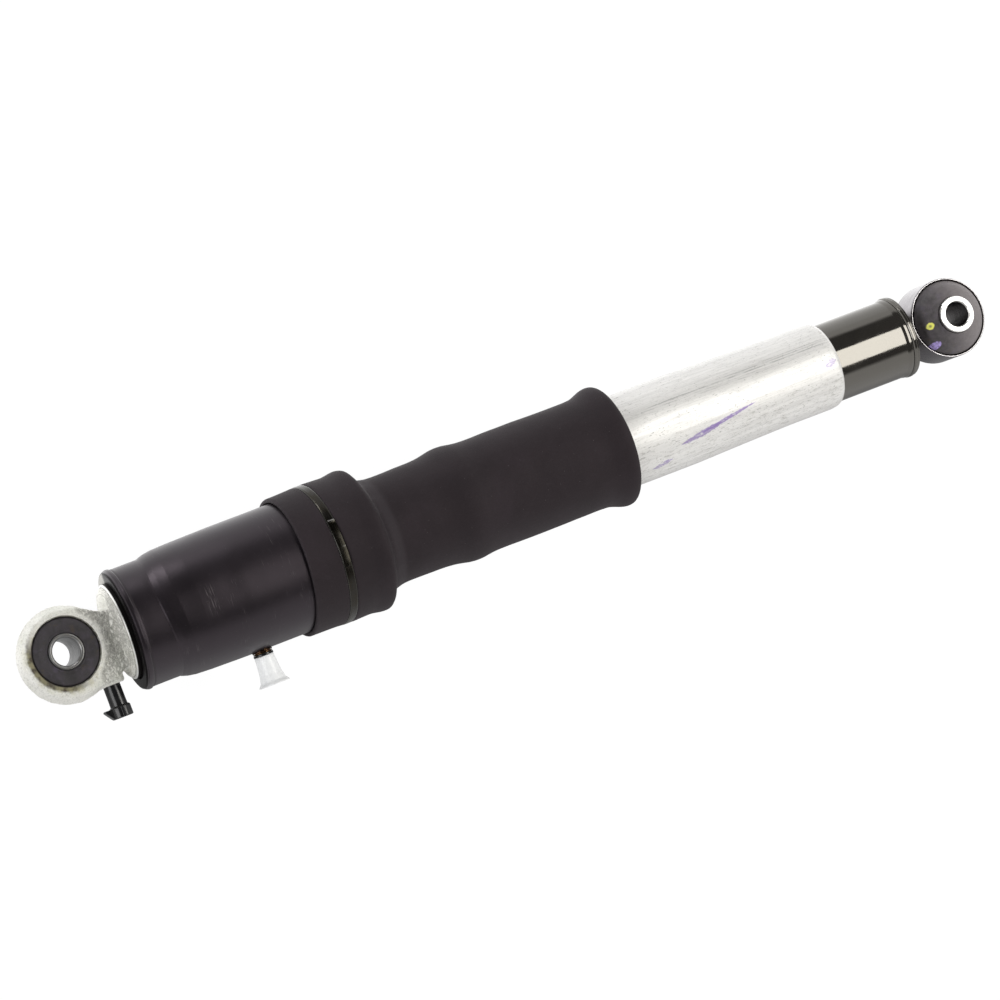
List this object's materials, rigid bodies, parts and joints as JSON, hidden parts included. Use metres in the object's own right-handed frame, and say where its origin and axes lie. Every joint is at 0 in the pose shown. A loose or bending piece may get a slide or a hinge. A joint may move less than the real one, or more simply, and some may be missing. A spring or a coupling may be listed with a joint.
{
  "type": "rear shock absorber",
  "caption": "Air-levelling rear shock absorber: cast upper eye with plug connector, black air can, rolling rubber sleeve, aluminium air piston, gas damper and steel lower eye.",
  "frame": {"origin": "centre of the part's box when fully extended; the upper eye's bolt axis is 302 mm from it along -X and the shock's axis 9.93 mm along +Y, because the air port and the connector stand out along -Y", "axes": "+X along the shock from the upper eye to the lower eye, +Z along both bolts, the connector and the air port point along -Y"},
  "size_m": [0.6616, 0.109, 0.089],
  "materials": {
    "cast_aluminium": "as-cast, light grey with a faint green stain",
    "bush_rubber": "matte black moulded rubber with dust",
    "zinc_steel": "dull zinc plate, turned",
    "bright_steel": "bright plate",
    "hard_chrome": "ground and hard chromed",
    "satin_black_paint": "satin black paint on steel",
    "gloss_black_paint": "gloss black paint on steel",
    "sleeve_rubber": "matte black reinforced rubber",
    "clamp_steel": "dark burnished band",
    "brushed_aluminium": "bright drawn tube with lengthwise scratches",
    "black_plastic": "moulded black plastic",
    "white_plastic": "translucent white plastic",
    "brass": "turned brass",
    "copper": "copper",
    "o_ring_rubber": "nitrile rubber",
    "urethane": "foamed urethane",
    "wire_insulation": "insulated lead"
  },
  "bodies": {
    "upper_assembly": {"upper_eye_casting": "cast_aluminium", "upper_bush_rubber": "bush_rubber", "connector_housing": "black_plastic", "connector_pin_1": "brass", "connector_pin_2": "brass", "connector_o_ring": "o_ring_rubber", "air_can": "satin_black_paint", "can_o_ring": "o_ring_rubber", "air_fitting_nut": "zinc_steel", "air_fitting_body": "brass", "air_fitting_washer": "copper", "air_fitting_collar": "black_plastic", "air_sleeve_outer": "sleeve_rubber", "outer_clamp_band": "clamp_steel", "piston_rod": "hard_chrome", "rod_jam_nut": "zinc_steel", "bump_stop_seat": "zinc_steel", "bump_stop": "urethane", "rebound_bumper": "urethane", "piston_upper_plate": "bright_steel", "piston_lower_plate": "bright_steel", "piston_core": "bright_steel", "piston_coil": "copper", "piston_flux_ring": "bright_steel", "piston_band": "black_plastic", "piston_nut": "zinc_steel", "rod_lead_wire": "wire_insulation"},
    "air_piston": {"air_piston_tube": "brushed_aluminium", "air_sleeve_inner": "sleeve_rubber", "inner_crimp_ring": "clamp_steel"},
    "rolling_lobe": {"air_sleeve_fold": "sleeve_rubber"},
    "damper": {"damper_tube": "gloss_black_paint", "base_cap": "gloss_black_paint", "striker_cap": "zinc_steel", "rod_guide": "cast_aluminium", "rod_seal": "o_ring_rubber", "guide_bushing": "brass", "tube_retaining_ring": "zinc_steel", "piston_tube_o_ring_upper": "o_ring_rubber", "piston_tube_spacer": "cast_aluminium", "piston_tube_o_ring_lower": "o_ring_rubber", "lower_eye_ring": "bright_steel", "lower_bush_rubber": "bush_rubber"},
    "gas_piston": {"floating_piston": "cast_aluminium", "floating_piston_o_ring": "o_ring_rubber"},
    "upper_bolt_sleeve": {"upper_bush_sleeve": "zinc_steel"},
    "lower_bolt_sleeve": {"lower_bush_sleeve": "bright_steel"},
    "port_cap": {"air_port_cap": "white_plastic"}
  },
  "joints": [
    {"name": "shock_stroke", "type": "slide", "parent": "upper_assembly", "child": "air_piston", "axis": [-1, 0, 0], "range_m": [0, 0.17], "deforming": ["air_sleeve_outer"]},
    {"name": "lobe_roll", "type": "slide", "parent": "upper_assembly", "child": "rolling_lobe", "axis": [-1, 0, 0], "range_m": [0, 0.085]},
    {"name": "lower_eye_swivel", "type": "hinge", "parent": "air_piston", "child": "damper", "pos_m": [0.098, 0.00993, 0], "axis": [1, 0, 0], "continuous": true},
    {"name": "gas_piston_float", "type": "slide", "parent": "damper", "child": "gas_piston", "axis": [1, 0, 0], "range_m": [0, 0.0208]},
    {"name": "upper_bush_twist", "type": "hinge", "parent": "upper_assembly", "child": "upper_bolt_sleeve", "pos_m": [-0.302, 0.00993, 0], "axis": [0, 0, 1], "range_deg": [-20, 20]},
    {"name": "lower_bush_twist", "type": "hinge", "parent": "damper", "child": "lower_bolt_sleeve", "pos_m": [0.305, 0.00993, 0], "axis": [0, 0, 1], "range_deg": [-20, 20]},
    {"name": "port_cap_pull", "type": "slide", "parent": "upper_assembly", "child": "port_cap", "axis": [0, -1, 0], "range_m": [0, 0.02]}
  ],
  "couplings": [
    {"joint": "lobe_roll", "follows": "shock_stroke", "ratio": 0.5},
    {"joint": "gas_piston_float", "follows": "shock_stroke", "ratio": 0.122}
  ]
}
